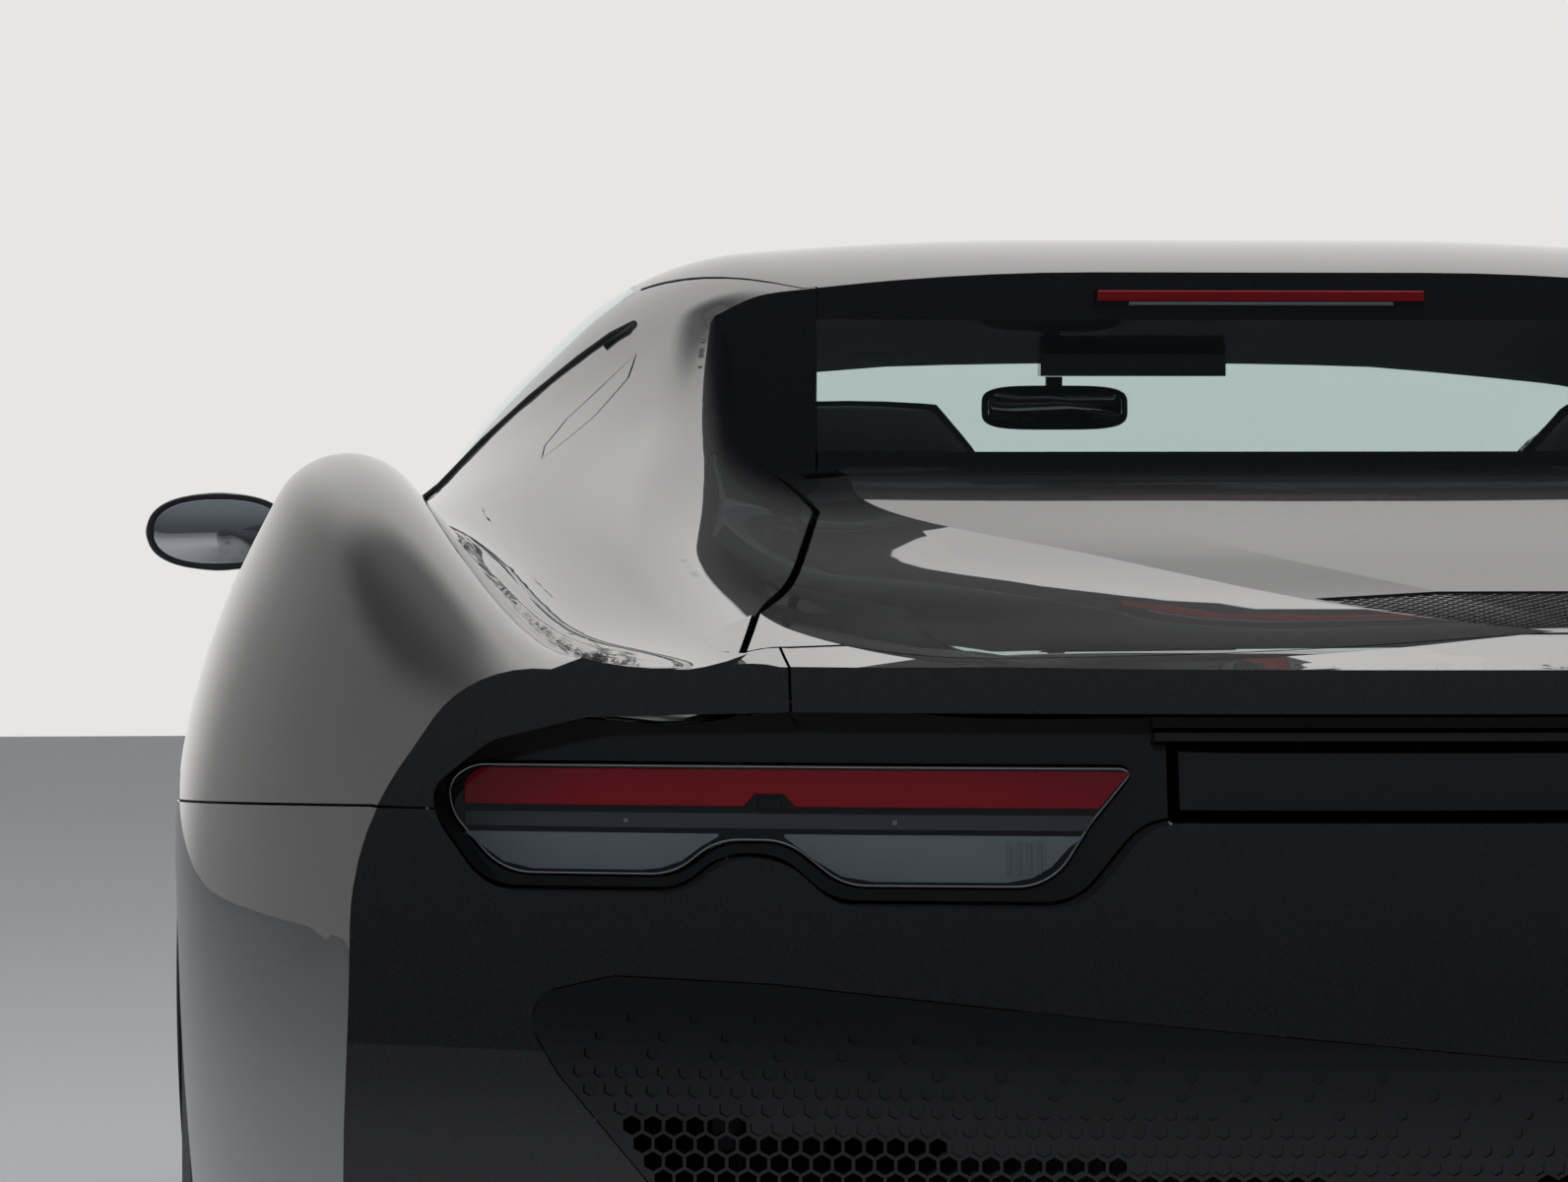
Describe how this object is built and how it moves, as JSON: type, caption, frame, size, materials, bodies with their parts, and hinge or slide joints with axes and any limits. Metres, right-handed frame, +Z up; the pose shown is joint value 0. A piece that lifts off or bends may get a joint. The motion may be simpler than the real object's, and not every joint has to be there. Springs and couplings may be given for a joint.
{
  "type": "mid engined sports car",
  "caption": "Low two-seat mid-engined sports car with a hardtop between flying buttresses, wide rear wings, doors and lids that open, and wheels that roll and steer.",
  "frame": {"origin": "on the floor under the middle of the car's overall length and width", "axes": "+Y forward to the nose, +X to the driver's right, +Z up"},
  "size_m": [2.002, 4.5643, 1.1888],
  "materials": {
    "paint": "dark metallic clearcoat",
    "structure": "bare and coated castings",
    "black_plastic": "fine grain",
    "gloss_black": "polished",
    "glass": "lightly tinted",
    "lamp_glass": "dark tinted",
    "clear_lens": "clear",
    "tyre": "rubber",
    "rim": "dark satin",
    "casting": "as cast",
    "leather": "smooth grain",
    "steel": "brushed",
    "mirror": "dark glass"
  },
  "bodies": {
    "body": {"chassis_tub": "structure", "front_bumper": "paint", "front_fenders": "paint", "windscreen_frame": "paint", "windscreen": "glass", "hardtop": "paint", "rear_window": "glass", "rear_deck": "paint", "tail_lip": "paint", "rear_bumper": "paint", "diffuser": "black_plastic", "headlamps": "clear_lens", "tail_lamps": "lamp_glass", "side_sills": "paint", "luggage_tub": "black_plastic", "engine_block": "casting", "exhaust_tips": "steel", "dashboard": "black_plastic", "cabin_mirror": "mirror", "seats": "leather", "rear_quarter_left": "paint", "rear_quarter_right": "paint", "tail_panel": "gloss_black", "grilles": "black_plastic", "fuel_flap": "paint", "suspension": "structure", "front_subframe": "structure", "rear_subframe": "structure"},
    "bonnet": {"bonnet": "paint"},
    "engine_lid": {"engine_lid": "paint", "deck_mesh": "black_plastic"},
    "rear_spoiler": {"rear_spoiler": "paint"},
    "steering_wheel": {"steering_wheel": "leather"},
    "door_left": {"door_left": "paint", "door_glass_left": "glass", "door_mirror_left": "gloss_black"},
    "knuckle_left": {"upright_front_left": "casting"},
    "front_wheel_left": {"wheel_front_left": "rim", "tyre_front_left": "tyre"},
    "rear_wheel_left": {"wheel_rear_left": "rim", "tyre_rear_left": "tyre"},
    "door_right": {"door_right": "paint", "door_glass_right": "glass", "door_mirror_right": "gloss_black"},
    "knuckle_right": {"upright_front_right": "casting"},
    "front_wheel_right": {"wheel_front_right": "rim", "tyre_front_right": "tyre"},
    "rear_wheel_right": {"wheel_rear_right": "rim", "tyre_rear_right": "tyre"}
  },
  "joints": [
    {"name": "bonnet_hinge", "type": "hinge", "parent": "body", "child": "bonnet", "pos_m": [0, 1, 0.77], "axis": [1, 0, 0], "range_deg": [0, 50]},
    {"name": "engine_lid_hinge", "type": "hinge", "parent": "body", "child": "engine_lid", "pos_m": [0, -0.545, 0.946], "axis": [-1, 0, 0], "range_deg": [0, 50]},
    {"name": "rear_spoiler_slide", "type": "slide", "parent": "body", "child": "rear_spoiler", "axis": [0, -1, 0], "range_m": [0, 0.1]},
    {"name": "door_left_hinge", "type": "hinge", "parent": "body", "child": "door_left", "pos_m": [-0.92, 0.823, 0.4], "axis": [0, 0, -1], "range_deg": [0, 60]},
    {"name": "steer_left", "type": "hinge", "parent": "body", "child": "knuckle_left", "pos_m": [-0.7905, 1.2425, 0.34], "axis": [0, 0, 1], "range_deg": [-30, 30]},
    {"name": "front_wheel_left_spin", "type": "hinge", "parent": "knuckle_left", "child": "front_wheel_left", "pos_m": [-0.8325, 1.2425, 0.34], "axis": [1, 0, 0], "continuous": true},
    {"name": "rear_wheel_left_spin", "type": "hinge", "parent": "body", "child": "rear_wheel_left", "pos_m": [-0.816, -1.3575, 0.361], "axis": [1, 0, 0], "continuous": true},
    {"name": "door_right_hinge", "type": "hinge", "parent": "body", "child": "door_right", "pos_m": [0.92, 0.823, 0.4], "axis": [0, 0, 1], "range_deg": [0, 60]},
    {"name": "steer_right", "type": "hinge", "parent": "body", "child": "knuckle_right", "pos_m": [0.7905, 1.2425, 0.34], "axis": [0, 0, 1], "range_deg": [-30, 30]},
    {"name": "front_wheel_right_spin", "type": "hinge", "parent": "knuckle_right", "child": "front_wheel_right", "pos_m": [0.8325, 1.2425, 0.34], "axis": [1, 0, 0], "continuous": true},
    {"name": "rear_wheel_right_spin", "type": "hinge", "parent": "body", "child": "rear_wheel_right", "pos_m": [0.816, -1.3575, 0.361], "axis": [1, 0, 0], "continuous": true},
    {"name": "steering_wheel_turn", "type": "hinge", "parent": "body", "child": "steering_wheel", "pos_m": [-0.37, 0.43, 0.69], "axis": [0, 0.9397, -0.342], "range_deg": [-360, 360]}
  ],
  "couplings": [
    {"joint": "steer_right", "follows": "steer_left", "ratio": 1},
    {"joint": "steering_wheel_turn", "follows": "steer_left", "ratio": -12}
  ]
}
